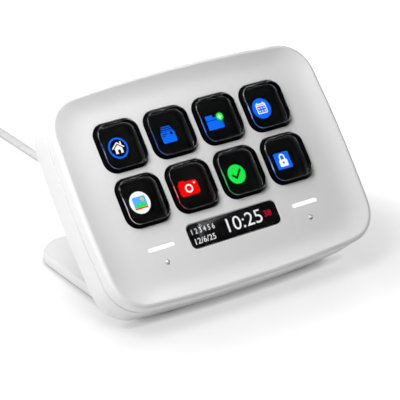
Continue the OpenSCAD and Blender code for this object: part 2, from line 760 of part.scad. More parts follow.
module coil_tie() color("gray")
    translate([coil_x, coil_y, 0]) rotate(tie_angle) translate([coil_mid_r, -tie_w / 2, 0]) {
        difference() {
            translate([-coil_w / 2 - tie_t - fit_gap, 0, 0])
                cube([coil_w + 2 * (tie_t + fit_gap), tie_w, coil_lift + coil_h + tie_t + fit_gap]);
            translate([-coil_w / 2 - 2 * fit_gap, -1, coil_lift])
                cube([coil_w + 4 * fit_gap, tie_w + 2, coil_h + fit_gap]);
        }
    }

// The plug points to -Y; its grip lies on the desk
module at_plug() {
    translate([plug_x, plug_y, grip_h / 2]) rotate([90, 0, 0]) children();
}

module plug_grip() color("white") at_plug() {
    translate([0, 0, plug_nose_l]) linear_extrude(grip_l) rounded(grip_w, grip_h, grip_r);
    rotate_extrude() polygon([[0, 0], [plug_nose_d / 2 - plug_nose_taper, 0],
                              [plug_nose_d / 2, plug_nose_l], [0, plug_nose_l]]);
}

// Folded steel sleeve with four latch windows, and the plastic tongue inside it
module plug_shell() color("silver") at_plug() translate([0, 0, plug_nose_l + grip_l]) {
    difference() {
        linear_extrude(plug_l) rounded(plug_w, plug_h, 0.5);
        translate([0, 0, plug_floor]) linear_extrude(plug_l)
            rounded(plug_w - 2 * plug_wall, plug_h - 2 * plug_wall, 0.3);
        for (x = [-1, 1], y = [-1, 1])
            translate([x * plug_window_x, y * plug_h / 2, plug_window_z])
                cube([plug_window, 2 * plug_wall + 0.4, plug_window], center = true);
    }
    translate([0, tongue_y, plug_floor / 2]) linear_extrude(plug_l - plug_floor / 2 - tongue_short)
        square([plug_w - 2 * plug_wall, tongue_t], center = true);
}

front_shell();
back_shell();
shell_screws();
key_guide();
dome_mat();
screen_panel();
screen_tray();
foam_strips();
strip_window();
light_bar(-1);  // light_bar_left
light_bar(1);  // light_bar_right
light_board(-1);  // light_board_left
light_board(1);  // light_board_right
touch_pad(-1);  // touch_pad_left
touch_pad(1);  // touch_pad_right
main_board();
board_chips();
board_screws();
screen_ribbon();
ribbon_socket();
foot_shell();
foot_weight();
foot_lid();
grip_pad();
bracket_screws();
strain_relief();
cord();
cord_coil();
cord_tail();
coil_tie();
plug_grip();
plug_shell();
for (i = [0 : columns * rows - 1]) {
    key_cap(i);
    key_carrier(i);
}
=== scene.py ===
"""Desk macro pad with eight screen keys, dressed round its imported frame.

Sizes are in millimetres here, and turn to metres as each piece is placed.
"""

import json
import math

import bmesh
import bpy
import numpy as np
from mathutils import Matrix, Vector


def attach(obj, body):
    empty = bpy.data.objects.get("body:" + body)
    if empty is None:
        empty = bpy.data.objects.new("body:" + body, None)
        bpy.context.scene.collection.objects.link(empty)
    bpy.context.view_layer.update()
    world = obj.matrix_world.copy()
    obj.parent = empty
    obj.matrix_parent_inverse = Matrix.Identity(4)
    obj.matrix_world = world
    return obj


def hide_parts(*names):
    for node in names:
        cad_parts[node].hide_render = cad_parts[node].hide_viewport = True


MM = 0.001
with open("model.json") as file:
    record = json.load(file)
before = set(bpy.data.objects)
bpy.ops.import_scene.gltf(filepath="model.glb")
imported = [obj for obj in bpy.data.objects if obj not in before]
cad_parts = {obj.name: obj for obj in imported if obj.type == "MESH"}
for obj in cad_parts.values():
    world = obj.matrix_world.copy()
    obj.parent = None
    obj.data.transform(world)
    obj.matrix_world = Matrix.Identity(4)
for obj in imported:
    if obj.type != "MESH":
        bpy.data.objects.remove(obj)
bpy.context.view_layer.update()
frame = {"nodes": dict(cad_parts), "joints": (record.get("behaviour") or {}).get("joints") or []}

# ---------- camera ----------
# A long lens stands some 70 cm away, to the left of the pad and a little above it, and looks
# down on the keys. It has no blur.

CAMERA_PLACE = (-360.95, -523.8, 321.74)
CAMERA_TURN = 35.075
CAMERA_DROP = 25.257
CAMERA_LENS = 184.798

camera = bpy.data.objects.new("camera", bpy.data.cameras.new("camera"))
camera.data.sensor_width = 36
camera.data.lens = CAMERA_LENS
camera.location = Vector(CAMERA_PLACE) * MM
camera.rotation_euler = (math.radians(90 - CAMERA_DROP), 0, math.radians(-CAMERA_TURN))
bpy.context.scene.collection.objects.link(camera)
bpy.context.scene.camera = camera
bpy.context.scene.view_settings.view_transform = "Standard"

# ---------- desk and studio ----------
# A pale desk between low white walls, under six soft lamps. It gives off a little light of its own,
# and to the eye it glows more: least round a strip under the pad, which is a painted shade, and
# where something touches it, which is a painted contact shade, and up to white further out.


class Wire:
    """One socket of a node tree; sums and products of wires add their Math nodes."""

    def __init__(self, tree, socket=None):
        self.tree = tree
        self.socket = socket

    def node(self, kind, settings=None, inputs=None, out=0):
        """Adds any node: its settings first, then the values or links of its sockets."""
        made = self.tree.nodes.new(kind)
        for name, value in (settings or {}).items():
            setattr(made, name, value)
        for key, value in (inputs or {}).items():
            self.join(value, made.inputs[key])
        return Wire(self.tree, made.outputs[out])

    def join(self, value, socket):
        """Links a wire to a socket, or sets the socket to a plain value."""
        if isinstance(value, Wire):
            self.tree.links.new(value.socket, socket)
        else:
            socket.default_value = value

    def maths(self, operation, first, second):
        return self.node("ShaderNodeMath", {"operation": operation}, {0: first, 1: second})

    def __add__(self, other):
        return self.maths("ADD", self, other)

    def __radd__(self, other):
        return self.maths("ADD", other, self)

    def __sub__(self, other):
        return self.maths("SUBTRACT", self, other)

    def __rsub__(self, other):
        return self.maths("SUBTRACT", other, self)

    def __mul__(self, other):
        return self.maths("MULTIPLY", self, other)

    def __rmul__(self, other):
        return self.maths("MULTIPLY", other, self)


def colour(red, green, blue):
    """A colour written as 0 to 255 on screen, as the linear values that sockets take."""
    return (*((c / 255 / 12.92 if c < 11 else ((c / 255 + 0.055) / 1.055) ** 2.4)
              for c in (red, green, blue)), 1.0)


def new_finish(name):
    """A new material, with a wire to start from and its one shader."""
    made = bpy.data.materials.new(name)
    made.use_nodes = True
    return made, Wire(made.node_tree), made.node_tree.nodes["Principled BSDF"].inputs


DESK_SIZE = 4000
DESK_GREY_LIT = 0.62
DESK_GREY_SEEN = 0.3
DESK_LIFT = 0.135
DESK_GLOW = 0.46
DESK_GLOW_BEYOND = 0.8
# Painted shade on the desk: its glow is lowest round this strip under the pad and rises to white
# with distance from it.
SHADE_MIDDLE = (13, -23, 0)
SHADE_HALF = (32, 1, 0)
SHADE_FROM = 22
SHADE_TO = 102
SHADE_CONTACT = 3
WALL_FADE_FROM = 0.2
WALL_FADE_TO = 0.35
WALL_LIGHT = 1.0
LAMPS = {  # where each lamp hangs: turn round the pad, rise, distance, width, and its watts
    "near_lamp": (-150, 60, 250, 120, 0.29),
    "top_lamp": (90, 80, 350, 200, 0.35),
    "side_lamp": (180, 52, 1500, 800, 5.4),
    "left_lamp": (178, 12, 1500, 800, 6.6),
    "rear_lamp": (45, 18, 1500, 800, 6.5),
    "edge_lamp": (-22, 4, 600, 120, 0.3),
}


def seen_by_eye(root):
    """One where the view, a mirror image or glass meets a surface, and nothing for its light."""
    camera_ray, glossy_ray, glass_ray = (
        root.node("ShaderNodeLightPath", out=name)
        for name in ("Is Camera Ray", "Is Glossy Ray", "Is Transmission Ray"))
    return camera_ray + glossy_ray + glass_ray


desk = bpy.data.objects.new("desk", bpy.data.meshes.new("desk"))
desk.data.from_pydata([(x * DESK_SIZE * MM / 2, y * DESK_SIZE * MM / 2, 0)
                       for x, y in ((-1, -1), (1, -1), (1, 1), (-1, 1))], [], [(0, 1, 2, 3)])
bpy.context.scene.collection.objects.link(desk)
white_desk, root, shader = new_finish("white_desk")
seen = seen_by_eye(root)
root.join(DESK_GREY_LIT + (DESK_GREY_SEEN - DESK_GREY_LIT) * seen, shader["Base Color"])
shader["Roughness"].default_value = 0.7
shader["Specular IOR Level"].default_value = 0.2
place = root.node("ShaderNodeTexCoord", out="Object")
middle, half = (tuple(size * MM for size in part) for part in (SHADE_MIDDLE, SHADE_HALF))
for operation, other in (("SUBTRACT", middle), ("ABSOLUTE", middle), ("SUBTRACT", half),
                         ("MAXIMUM", (0, 0, 0))):
    place = root.node("ShaderNodeVectorMath", {"operation": operation}, {0: place, 1: other})
away = root.node("ShaderNodeVectorMath", {"operation": "LENGTH"}, {0: place}, out="Value")
# Painted shade: the glow grows from nothing at the strip's edge to its full amount further out.
far = root.node("ShaderNodeMapRange", {"interpolation_type": "SMOOTHSTEP"},
                {"Value": away, "From Min": SHADE_FROM * MM, "From Max": SHADE_TO * MM,
                 "To Min": 0.0, "To Max": DESK_GLOW_BEYOND})
# Painted contact shade: the glow darkens wherever something lies within a few millimetres of the
# desk.
clear = root.node("ShaderNodeAmbientOcclusion", {"samples": 8},
                  {"Distance": SHADE_CONTACT * MM}, out="AO")
root.join((far + DESK_GLOW) * clear * seen + DESK_LIFT, shader["Emission Color"])
shader["Emission Strength"].default_value = 1.0
desk.data.materials.append(white_desk)

room = bpy.data.worlds.new("room")
bpy.context.scene.world = room
room.use_nodes = True
root = Wire(room.node_tree)
place = root.node("ShaderNodeTexCoord", out="Generated")
rise = root.node("ShaderNodeSeparateXYZ", None, {0: place}, out="Z")
wall = root.node("ShaderNodeMapRange", {"interpolation_type": "SMOOTHSTEP"},
                 {"Value": rise, "From Min": WALL_FADE_FROM, "From Max": WALL_FADE_TO,
                  "To Min": WALL_LIGHT, "To Max": 0.0})
sky = room.node_tree.nodes["Background"].inputs
sky["Color"].default_value = (1, 1, 1, 1)
root.join(seen_by_eye(root) * wall, sky["Strength"])

for name, (turn, rise, distance, width, watts) in LAMPS.items():
    lamp = bpy.data.objects.new(name, bpy.data.lights.new(name, "AREA"))
    lamp.data.shape = "DISK"
    lamp.data.size = width * MM
    lamp.data.energy = watts
    turn, rise = math.radians(turn), math.radians(rise)
    lamp.location = distance * MM * Vector((math.cos(rise) * math.cos(turn),
                                            math.cos(rise) * math.sin(turn), math.sin(rise)))
    lamp.rotation_euler = (-lamp.location).to_track_quat("-Z", "Y").to_euler()
    bpy.context.scene.collection.objects.link(lamp)

# ---------- cord ----------
# A thin round cord with a soft white jacket. It leaves the housing's back, drops over the foot
# to the desk and runs straight back; the spare length is wound into a tied coil, three turns
# wide and four layers high, with a little over 11 full rounds in all.

CORD_D = 3.0
CORD_SIDES = 16
CORD_STEP = 1.2
CORD_ROUTE = [
    (0, -0.4, 18.8), (0, 1.9, 16.85), (0, 4.2, 14.9), (0, 7.5, 12.2), (0, 10.7, 9.65),
    (0, 12.9, 8), (0, 15.5, 6.85), (0, 18.2, 6.1), (0, 21, 5.85), (0, 25, 5.85), (0, 29.5, 5.85),
    (0, 32.5, 5.6), (0, 35, 4.8), (0, 36.6, 3.9), (0, 38.2, 2.9), (0, 40.6, 2), (0, 43.6, 1.5),
    (0.1, 48, 1.5), (0.3, 54, 1.5), (0.6, 62, 1.5), (0.9, 72, 1.5), (1, 84, 1.5), (1, 96, 1.5),
    (1, 108, 1.5), (1, 120, 1.5), (1, 130, 1.6), (1, 141, 1.9), (1, 152, 2.1), (1, 156.5, 2.1)]
TAIL_ROUTE = [
    (-22, 177.6, 11.1), (-27, 177.4, 11), (-32, 176.6, 10.6), (-37, 175, 9.6),
    (-42, 172.4, 8.2), (-46, 169.2, 6.8), (-49, 165.6, 5.6), (-51, 161.6, 4.7),
    (-52, 157.4, 4.1), (-52, 153.4, 3.8)]
COIL_MIDDLE = (-20, 157)
COIL_RADII = (21, 18, 15)
COIL_LOW = 2.1
COIL_LAYERS = 4
COIL_FIRST_SHIFT = 325
COIL_SHIFT = 35
COIL_END = 4055


def smooth_line(points, step):
    """Points at even steps along a smooth curve through the given ones."""
    line = np.array(points, float)
    ends = np.vstack((2 * line[0] - line[1], line, 2 * line[-1] - line[-2]))
    made = []
    for a, b, c, d in zip(ends, ends[1:], ends[2:], ends[3:]):
        count = max(2, round(np.linalg.norm(c - b) / step))
        for t in np.linspace(0, 1, count, endpoint=False):
            made.append(b + 0.5 * t * (c - a + t * (2 * a - 5 * b + 4 * c - d
                                                   + t * (3 * (b - c) + d - a))))
    return np.vstack((made, line[-1]))


def coil_turns():
    """The coil's centreline: layers of turns that lie beside and on each other.

    Each turn shifts one cord sideways, and each layer starts one cord higher, a little
    earlier in the round than the last change, so that no turn meets another.
    """
    across = len(COIL_RADII)
    places = [(COIL_RADII[k] if layer % 2 == 0 else COIL_RADII[-1 - k], COIL_LOW + CORD_D * layer)
              for layer in range(COIL_LAYERS) for k in range(across)]
    starts, angle = [], COIL_FIRST_SHIFT
    for k in range(1, len(places)):
        starts.append(angle)
        climbs_next = (k + 1) % across == 0 or k % across == 0
        angle += 360 - (COIL_SHIFT if climbs_next else 0)
    line = []
    for angle in np.arange(0, COIL_END, 360 * CORD_STEP / (2 * math.pi * COIL_RADII[0])):
        radius, height = places[0]
        for start, low, high in zip(starts, places, places[1:]):
            t = min(max((angle - start) / COIL_SHIFT, 0), 1)
            t = t * t * (3 - 2 * t)
            radius += (high[0] - low[0]) * t
            height += (high[1] - low[1]) * t
        turn = math.radians(angle)
        line.append((COIL_MIDDLE[0] + radius * math.cos(turn),
                     COIL_MIDDLE[1] + radius * math.sin(turn), height))
    return np.array(line)


def skin(bm, rings):
    """Joins a stack of rings that have the same number of points, and returns their corners."""
    loops = [[bm.verts.new(point) for point in ring] for ring in rings]
    for low, high in zip(loops, loops[1:]):
        for a, b, c, d in zip(low, low[1:] + low[:1], high[1:] + high[:1], high):
            bm.faces.new((a, b, c, d))
    return loops


def solid(bm, rings):
    """Joins a stack of rings, closes both ends, and returns the rings' corners."""
    loops = skin(bm, rings)
    bm.faces.new(loops[0])
    bm.faces.new(loops[-1])
    return loops


def tube(bm, line, radius, sides):
    """A closed round tube along a line, without twist."""
    heading = np.gradient(line, axis=0)
    heading /= np.linalg.norm(heading, axis=1)[:, None]
    turn = np.linspace(0, 2 * math.pi, sides, endpoint=False)
    side, rings = np.cross(heading[0], (0, 0, 1)), []
    for point, ahead in zip(line, heading):
        side = side - ahead * (side @ ahead)
        side /= np.linalg.norm(side)
        over = np.cross(ahead, side)
        rings.append(point + radius * (np.outer(np.cos(turn), side) + np.outer(np.sin(turn), over)))
    solid(bm, rings)


SHARP_ANGLE = 35


def add_piece(name, bm, finishes, body="base", place=None, stands_for=()):
    """Places a mesh made in millimetres, gives it its finishes and fixes it to its body."""
    bmesh.ops.recalc_face_normals(bm, faces=bm.faces)
    bm.transform(Matrix.Scale(MM, 4) @ (place or Matrix.Identity(4)))
    piece = bpy.data.objects.new(name, bpy.data.meshes.new(name))
    bm.to_mesh(piece.data)
    bm.free()
    piece.data.shade_smooth()
    piece.data.set_sharp_from_angle(angle=math.radians(SHARP_ANGLE))
    for finish in finishes if isinstance(finishes, list) else [finishes]:
        piece.data.materials.append(finish)
    bpy.context.scene.collection.objects.link(piece)
    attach(piece, body)
    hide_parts(*stands_for)
    return piece


def moulded(name, tint, roughness, grain=0.25, grain_per_mm=5.0):
    """Moulded plastic or rubber: a fine matt grain, and a gloss and tone that drift a little."""
    made, root, shader = new_finish(name)
    place = root.node("ShaderNodeTexCoord", out="Object")
    fine = root.node("ShaderNodeTexNoise", None,
                     {"Vector": place, "Scale": grain_per_mm / MM, "Detail": 2.0})
    drift = root.node("ShaderNodeTexNoise", None, {"Vector": place, "Scale": 45.0, "Detail": 3.0})
    darker = tuple(c * 0.965 for c in tint[:3]) + (1,)
    tone = root.node("ShaderNodeMix", {"data_type": "RGBA"}, {0: drift, 6: darker, 7: tint}, out=2)
    root.join(tone, shader["Base Color"])
    root.join(roughness - 0.05 + 0.06 * drift + 0.04 * fine, shader["Roughness"])
    bump = root.node("ShaderNodeBump", None,
                     {"Strength": grain, "Distance": 0.02 * MM, "Height": fine}, out="Normal")
    root.join(bump, shader["Normal"])
    return made


cord_jacket = moulded("cord_jacket", colour(236, 236, 236), 0.5, grain=0.15, grain_per_mm=3.0)
line = np.vstack((smooth_line(CORD_ROUTE, CORD_STEP), coil_turns(),
                  smooth_line(TAIL_ROUTE, CORD_STEP)))
bm = bmesh.new()
tube(bm, line, CORD_D / 2, CORD_SIDES)
usb_cord = add_piece("usb_cord", bm, cord_jacket,
                     stands_for=("cord", "cord_coil", "cord_tail"))

# ---------- cord ends ----------
# The plug is a steel sleeve, folded from sheet, in a moulded white grip. A fabric tie holds the
# coil, and a grooved rubber sleeve bends with the cord where it leaves the housing.

BEVEL_ANGLE = 30


def cad_copy(node, bevel, segments=3):
    """A CAD node's own shape as one joined mesh in millimetres, with its edges rounded."""
    bm = bmesh.new()
    bm.from_mesh(frame["nodes"][node].data)
    bm.transform(Matrix.Scale(1 / MM, 4))
    bmesh.ops.remove_doubles(bm, verts=bm.verts, dist=0.001)
    bmesh.ops.dissolve_limit(bm, angle_limit=math.radians(0.5), verts=bm.verts, edges=bm.edges)
    sharp = [edge for edge in bm.edges
             if len(edge.link_faces) == 2 and edge.calc_face_angle() > math.radians(BEVEL_ANGLE)]
    bmesh.ops.bevel(bm, geom=sharp, offset=bevel, segments=segments, profile=0.5,
                    affect="EDGES", clamp_overlap=True)
    return bm


def metal(name, tint, roughness, brush=(1, 1, 60)):
    """Plated steel with fine marks that run along the piece."""
    made, root, shader = new_finish(name)
    place = root.node("ShaderNodeTexCoord", out="Object")
    place = root.node("ShaderNodeMapping", None, {"Vector": place, "Scale": brush})
    marks = root.node("ShaderNodeTexNoise", None, {"Vector": place, "Scale": 400.0, "Detail": 4.0})
    shader["Metallic"].default_value = 1.0
    shader["Base Color"].default_value = tint
    root.join(roughness - 0.08 + 0.16 * marks, shader["Roughness"])
    bump = root.node("ShaderNodeBump", None,
                     {"Strength": 0.1, "Distance": 0.01 * MM, "Height": marks}, out="Normal")
    root.join(bump, shader["Normal"])
    return made


plug_plastic = moulded("plug_plastic", colour(238, 238, 238), 0.4)
plug_steel = metal("plug_steel", colour(205, 205, 208), 0.28, brush=(60, 1, 60))
tie_fabric = moulded("tie_fabric", colour(120, 122, 126), 0.85, grain=0.9, grain_per_mm=1.6)
relief_rubber = moulded("relief_rubber", colour(234, 234, 234), 0.5)
add_piece("plug_handle", cad_copy("plug_grip", 0.7, 4), plug_plastic,
          stands_for=("plug_grip",))
add_piece("plug_sleeve", cad_copy("plug_shell", 0.08, 2), plug_steel,
          stands_for=("plug_shell",))
add_piece("fabric_tie", cad_copy("coil_tie", 0.2), tie_fabric,
          stands_for=("coil_tie",))
add_piece("cord_sleeve", cad_copy("strain_relief", 0.12, 2), relief_rubber,
          stands_for=("strain_relief",))

# ---------- housing ----------
# Two moulded white ABS shells meet at an open seam. The front one has a raised rim and a dished
# face, with an opening for each key, one for the display strip and a slot for each light bar.

WALL = 1.8
CORNER = 12.5
SIDE_BOW = 400
TOP_BOW = 560
RIM_LAND = 0.2
RIM_ROUND = 1.2
RIM_WALL = 2.6
SLOPE_SIDE = 11.2
SLOPE_TOP = 8.1
SLOPE_BOTTOM = 8.7
DISH_CORNER = 9
FACE_T = 2.0
SEAM = 0.5
LIP_W = 0.8
LIP_D = 1.1
LIP_GAP = 0.12
EDGE = 0.15
HOLE_EDGE = 0.12
MARGIN = 0.3
HOLE_MARGIN = 0.25
KEY_GAP = 0.2
KEY_CORNER = 4.4
KEY_BOW = 900
STRIP_LIP = 0.85
STRIP_CORNER = 2.0
BAR_LIP = 0.7
BAR_OVER = 0.3
BAR_CORNER = 0.59
BUMP_D = 1.2
BUMP_H = 0.5
BUMP_SHIFT = (0.2, -0.16)
BUMP_SIDES = 32
BUMP_POLE = 0.06
DIMPLE_D = 1.9
DIMPLE_DEPTH = 1.4
DIMPLE_MARGIN = 0.2
BACK_ROUND = 1.4
BOSS_D = 5.2
BOSS_SINK = 0.3
BOSS_GAP = 0.1
HEAD_D = 3.8
HEAD_HOLE = 4.2
HEAD_SEAT = 3.2
SHAFT_HOLE = 2.3
THREAD_HOLE = 2.1
BOARD_BOSS_D = 4.4
BOARD_BOSS_H = 2
BOARD_BOSS_SINK = 0.4
RELIEF_HOLE = 6.2
BRACKET_SCREW_XS = (-26, -10, 10, 26)
STRAIGHT = 9000

press = Vector(frame["joints"][0]["axis"])
slope = Matrix.Rotation(math.atan2(press.y, -press.z), 4, "X")


def node_box(node, axes):
    """The low and the high corner of a CAD node along the given axes, in millimetres."""
    inverse = axes.inverted()
    points = [inverse @ (corner.co / MM) for corner in frame["nodes"][node].data.vertices]
    return np.min(points, axis=0), np.max(points, axis=0)


low, high = node_box("front_shell", slope)
housed = slope @ Matrix.Translation((0, (low[1] + high[1]) / 2, high[2]))
half_w, half_h = node_box("front_shell", housed)[1][:2]
back_z, back_seam_z = (corner[2] for corner in node_box("back_shell", housed))
flat_z = node_box("light_bar_left", housed)[1][2]
screen_z = node_box("screen_panel", housed)[1][2]
face_back_z = flat_z - FACE_T
back_inner_z = back_z + WALL
key_boxes = [node_box(f"key_cap_{k + 1}", housed) for k in range(8)]
strip_box = node_box("strip_window", housed)
bar_boxes = [node_box(f"light_bar_{side}", housed) for side in ("left", "right")]
touch_boxes = [node_box(f"touch_pad_{side}", housed) for side in ("left", "right")]
boss_x, boss_y = node_box("shell_screws", housed)[1][:2] - HEAD_D / 2
bar_inset = np.array((BAR_LIP - BAR_OVER, BAR_LIP))
front_seam_z = back_seam_z + SEAM
boss_top_z = screen_z - BOSS_GAP
head_seat_z = back_z + HEAD_SEAT


def arc(middle, radius, start, end, steps):
    """Points of an arc from one angle to another, without the last one."""
    turn = np.linspace(start, end, steps, endpoint=False)
    return middle + radius * np.column_stack((np.cos(turn), np.sin(turn)))


def bowed_ring(half_w, half_h, side_r, top_r, corner_r, steps=(12, 28, 16)):
    """A rounded rectangle whose four sides bow outwards, as points in its own plane."""
    side, top = np.array((half_w - side_r, 0)), np.array((0, half_h - top_r))
    apart = top - side
    span, near, far = np.linalg.norm(apart), side_r - corner_r, top_r - corner_r
    along = (span * span + near * near - far * far) / (2 * span)
    over = math.sqrt(near * near - along * along)
    corner = side + (along * apart + over * np.array((-apart[1], apart[0]))) / span
    low = math.atan2(*(corner - side)[::-1])
    high = math.atan2(*(corner - top)[::-1])
    quarter = np.vstack((arc(side, side_r, 0, low, steps[0]),
                         arc(corner, corner_r, low, high, steps[1]),
                         arc(top, top_r, high, math.pi / 2, steps[2]), [(0, half_h)]))
    first, back = quarter[:-1], quarter[:0:-1]
    return np.vstack((first, back * (-1, 1), -first, back * (1, -1)))


def raised(points, height):
    """Points of the plane, lifted to a height."""
    return np.column_stack((points, np.full(len(points), height)))


def stack(ring, *stations):
    """Rings of one outline, each at a station: how far it lies in or out, and its height."""
    return [raised(ring(away), height) for away, height in stations]


def rolled(ring, radius, level, way, steps=9):
    """Rings that roll over from a wall to a flat face at a level: upwards, or down for way -1."""
    return stack(ring, *((radius * (1 - math.cos(t)), level - way * radius * (1 - math.sin(t)))
                         for t in np.linspace(0, math.pi / 2, steps)))


def outline(inset):
    return bowed_ring(half_w - inset, half_h - inset, SIDE_BOW - inset, TOP_BOW - inset,
                      CORNER - inset)


def round_hole(x, y, diameter, sides=48):
    """A ring maker for a round hole: its rings take how far they lie outside the hole."""
    return lambda out: arc((x, y), diameter / 2 + out, 0, 2 * math.pi, sides)


def slot_hole(box, inside, corner, bow=STRAIGHT, steps=(3, 12, 3)):
    """A ring maker for a rounded opening that lies a little inside, or outside, a node's box."""
    middle, half = (box[0] + box[1])[:2] / 2, (box[1] - box[0])[:2] / 2 - inside
    return lambda out: middle + bowed_ring(*(half + out), bow + out, bow + out, corner + out,
                                           steps)


def wall_rings(ring, top, bottom):
    """The wall of an opening through a plate, with rounded edges and a flat margin round them."""
    margin = EDGE + HOLE_MARGIN
    return (stack(ring, (margin, top)) + rolled(ring, EDGE, top, 1, 5)[::-1]
            + rolled(ring, EDGE, bottom, -1, 5) + stack(ring, (margin, bottom)))


def span(bm, loops):
    """Fills the flat face between an outer loop and the loops of the holes in it."""
    edges = [bm.edges.get(pair) for loop in loops for pair in zip(loop, loop[1:] + loop[:1])]
    bmesh.ops.triangle_fill(bm, use_beauty=True, edges=edges, normal=(0, 0, 1))


def closed_skin(bm, rings):
    """Joins a stack of rings, and its last ring to its first, into a closed band."""
    loops = skin(bm, rings)
    low, high = loops[-1], loops[0]
    for a, b, c, d in zip(low, low[1:] + low[:1], high[1:] + high[:1], high):
        bm.faces.new((a, b, c, d))


def pipe(bm, ring, low, high, inner):
    """A closed pipe that stands on its own: an outer wall, a bore and two flat ends."""
    closed_skin(bm, stack(ring, (0, low), (0, high), (inner, high), (inner, low)))


white_plastic = moulded("white_plastic", colour(240, 240, 240), 0.42)


def dish_outline(inset):
    """The edge of the dish's flat middle, or a ring inside it."""
    inset = inset + RIM_LAND + RIM_ROUND
    return bowed_ring(half_w - SLOPE_SIDE - inset, half_h - (SLOPE_TOP + SLOPE_BOTTOM) / 2 - inset,
                      SIDE_BOW, TOP_BOW, DISH_CORNER) + (0, (SLOPE_BOTTOM - SLOPE_TOP) / 2)


def dish(outer, high, low, steps):
    """Rings that sink from an outer ring to the flat middle of the dish, ever more slowly."""
    return [raised(outer * (1 - t) + dish_outline(0) * t,
                   high + (low - high) * (t + math.sin(math.pi * t) / math.pi))
            for t in np.linspace(0, 1, steps + 1)]


bm = bmesh.new()
lip_z, lip_inset = front_seam_z - LIP_D, WALL - LIP_W
rings = stack(dish_outline, (MARGIN, face_back_z))
rings += dish(outline(WALL), -RIM_WALL, face_back_z, 16)[::-1]
rings += stack(outline, (WALL, lip_z), (lip_inset, lip_z), (lip_inset, front_seam_z),
               (EDGE, front_seam_z), (0, front_seam_z + EDGE))
rings += rolled(outline, RIM_ROUND, 0, 1)
rings += dish(outline(RIM_LAND + RIM_ROUND), 0, flat_z, 28)
rings += stack(dish_outline, (MARGIN, flat_z))
loops = skin(bm, rings)
face_loops, behind_loops = [loops[-1]], [loops[0]]
openings = [slot_hole(box, -KEY_GAP, KEY_CORNER + KEY_GAP, KEY_BOW) for box in key_boxes]
openings += [slot_hole(strip_box, STRIP_LIP, STRIP_CORNER)]
openings += [slot_hole(box, bar_inset, BAR_CORNER, steps=(1, 8, 3)) for box in bar_boxes]
for ring in openings:
    loops = skin(bm, wall_rings(ring, flat_z, face_back_z))
    face_loops.append(loops[0])
    behind_loops.append(loops[-1])
ball = (BUMP_D ** 2 / 4 + BUMP_H ** 2) / (2 * BUMP_H)
lean = math.asin(BUMP_D / 2 / ball)
for low, high in touch_boxes:
    middle = (low + high)[:2] / 2
    dimple = round_hole(*(middle + BUMP_SHIFT), DIMPLE_D, BUMP_SIDES)
    bump = round_hole(*middle, 0, BUMP_SIDES)
    dimple_z = flat_z - DIMPLE_DEPTH
    rings = stack(dimple, (DIMPLE_MARGIN, flat_z), (0, flat_z), (0, dimple_z))
    rings += stack(bump, (BUMP_D / 2, dimple_z), *(
        (ball * math.sin(t), flat_z + BUMP_H - ball * (1 - math.cos(t)))
        for t in np.linspace(lean, BUMP_POLE, 9)))
    loops = skin(bm, rings)
    bm.faces.new(loops[-1])
    face_loops.append(loops[0])
span(bm, face_loops)
span(bm, behind_loops)
for x in (-boss_x, boss_x):
    for y in (-boss_y, boss_y):
        pipe(bm, round_hole(x, y, BOSS_D), screen_z, BOSS_SINK - RIM_WALL,
             (THREAD_HOLE - BOSS_D) / 2)
add_piece("front_cover", bm, white_plastic, place=housed,
          stands_for=("front_shell",))

bm = bmesh.new()
groove_z, groove_inset = lip_z - LIP_GAP, lip_inset - LIP_GAP
rings = stack(outline, (WALL + MARGIN, back_inner_z), (WALL, back_inner_z), (WALL, groove_z),
              (groove_inset, groove_z), (groove_inset, back_seam_z), (EDGE, back_seam_z),
              (0, back_seam_z - EDGE))
rings += rolled(outline, BACK_ROUND, back_z, -1)
rings += stack(outline, (BACK_ROUND + MARGIN, back_z))
loops = skin(bm, rings)
inner_loops, outer_loops = [loops[0]], [loops[-1]]
for x in (-boss_x, boss_x):
    for y in (-boss_y, boss_y):
        head, shaft, boss = (round_hole(x, y, d) for d in (HEAD_HOLE, SHAFT_HOLE, BOSS_D))
        rings = stack(head, (MARGIN, back_z), (HOLE_EDGE, back_z), (0, back_z + HOLE_EDGE),
                      (0, head_seat_z))
        rings += stack(shaft, (0, head_seat_z), (0, boss_top_z))
        rings += stack(boss, (0, boss_top_z), (0, back_inner_z))
        loops = skin(bm, rings)
        outer_loops.append(loops[0])
        inner_loops.append(loops[-1])
low, high = node_box("strain_relief", housed)
relief_at = (low + high)[:2] / 2
low, high = node_box("bracket_screws", housed)
bracket_screw_y = (low + high)[1] / 2
holes = [round_hole(*relief_at, RELIEF_HOLE)]
holes += [round_hole(x, bracket_screw_y, SHAFT_HOLE) for x in BRACKET_SCREW_XS]
for ring in holes:
    loops = skin(bm, stack(ring, (0, back_z), (0, back_inner_z)))
    outer_loops.append(loops[0])
    inner_loops.append(loops[-1])
span(bm, outer_loops)
span(bm, inner_loops)
low, high = node_box("board_screws", housed)
for x in (low[0] + HEAD_D / 2, high[0] - HEAD_D / 2):
    for y in (low[1] + HEAD_D / 2, high[1] - HEAD_D / 2):
        pipe(bm, round_hole(x, y, BOARD_BOSS_D), back_inner_z - BOARD_BOSS_SINK,
             back_inner_z + BOARD_BOSS_H, (THREAD_HOLE - BOARD_BOSS_D) / 2)
add_piece("back_cover", bm, white_plastic, place=housed,
          stands_for=("back_shell",))

# ---------- keys ----------
# Each key is a clear acrylic block in a black skirt, moulded in two shots. Its sides lean in
# above the face. Below, it is welded onto a black carrier whose rim catches behind the face.

KEY_LEAN = 0.7
KEY_EDGE = 0.4
SKIRT_T = 0.5
SKIRT_TOP_T = 0.3
SHOT_GAP = 0.03
CARRIER_BORDER = 1.0
CATCH = 0.65


def black_plastic(name, roughness, gloss=0.5):
    made, root, shader = new_finish(name)
    place = root.node("ShaderNodeTexCoord", out="Object")
    fine = root.node("ShaderNodeTexNoise", None, {"Vector": place, "Scale": 4000.0, "Detail": 2.0})
    shader["Base Color"].default_value = (0.003, 0.003, 0.0035, 1)
    shader["Specular IOR Level"].default_value = gloss
    root.join(roughness + 0.08 * fine, shader["Roughness"])
    return made


